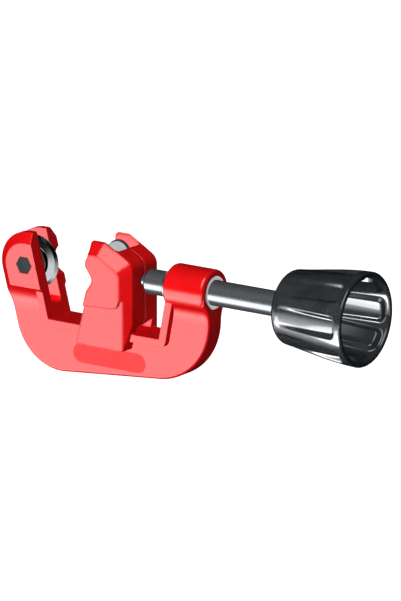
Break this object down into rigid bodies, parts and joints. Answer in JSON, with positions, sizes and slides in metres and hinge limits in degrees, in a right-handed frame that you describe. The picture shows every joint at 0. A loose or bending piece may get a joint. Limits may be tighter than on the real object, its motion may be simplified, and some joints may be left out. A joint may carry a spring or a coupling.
{
  "type": "pipe cutter",
  "caption": "Screw-feed pipe cutter: a C-shaped cast frame with a cutting wheel, a sliding roller carriage and a spindle turned by a fluted knob.",
  "frame": {"origin": "centre of the cutting wheel, where its axle crosses the spindle axis", "axes": "+X along the spindle towards the knob, +Y along the wheel axle away from the label side, +Z out of the open side of the C frame"},
  "size_m": [0.1782, 0.0392, 0.0639],
  "materials": {
    "red_casting": "glossy red enamel on a zinc casting",
    "label_inlay": "smooth blank red inlay",
    "dark_steel": "blackened steel, lightly polished",
    "zinc_steel": "zinc plated",
    "bright_steel": "ground and polished",
    "wheel_steel": "hardened, lapped, bevels ground",
    "black_steel": "black oxide, oiled",
    "spindle_steel": "drawn and polished bar, thin oil film",
    "knob_plastic": "glossy moulded plastic with fine moulding texture"
  },
  "bodies": {
    "frame": {"frame_casting": "red_casting", "front_label": "label_inlay", "axle_bolt": "dark_steel", "axle_nut": "zinc_steel", "wheel_sleeve": "bright_steel", "wheel_thrust_washers": "bright_steel", "spindle_bush": "bright_steel"},
    "carriage": {"carriage_rear_half": "red_casting", "carriage_front_half": "red_casting", "carriage_screws": "zinc_steel", "upper_roller_pin": "dark_steel", "lower_roller_pin": "dark_steel", "upper_roller_washers": "black_steel", "lower_roller_washers": "black_steel", "thrust_disc": "bright_steel"},
    "spindle": {"spindle": "spindle_steel", "spindle_clip": "black_steel", "knob_shell": "knob_plastic", "knob_insert": "bright_steel", "knob_screw": "zinc_steel", "knob_washer": "zinc_steel"},
    "cutter_wheel": {"cutter_wheel": "wheel_steel", "wheel_needles": "bright_steel"},
    "upper_roller": {"upper_roller": "bright_steel", "upper_roller_needles": "bright_steel"},
    "lower_roller": {"lower_roller": "bright_steel", "lower_roller_needles": "bright_steel"}
  },
  "joints": [
    {"name": "spindle_turn", "type": "hinge", "parent": "carriage", "child": "spindle", "pos_m": [0.0573, 0, 0], "axis": [1, 0, 0], "range_deg": [-4825, 3049]},
    {"name": "carriage_slide", "type": "slide", "parent": "frame", "child": "carriage", "axis": [1, 0, 0], "range_m": [-0.0201, 0.0127]},
    {"name": "wheel_spin", "type": "hinge", "parent": "frame", "child": "cutter_wheel", "pos_m": [0, 0, 0], "axis": [0, 1, 0], "continuous": true},
    {"name": "upper_roller_spin", "type": "hinge", "parent": "carriage", "child": "upper_roller", "pos_m": [0.0372, 0, 0.0075], "axis": [0, 1, 0], "continuous": true},
    {"name": "lower_roller_spin", "type": "hinge", "parent": "carriage", "child": "lower_roller", "pos_m": [0.0372, 0, -0.0075], "axis": [0, 1, 0], "continuous": true}
  ],
  "couplings": [
    {"joint": "spindle_turn", "follows": "carriage_slide", "rad_per_m": 4188.8}
  ]
}
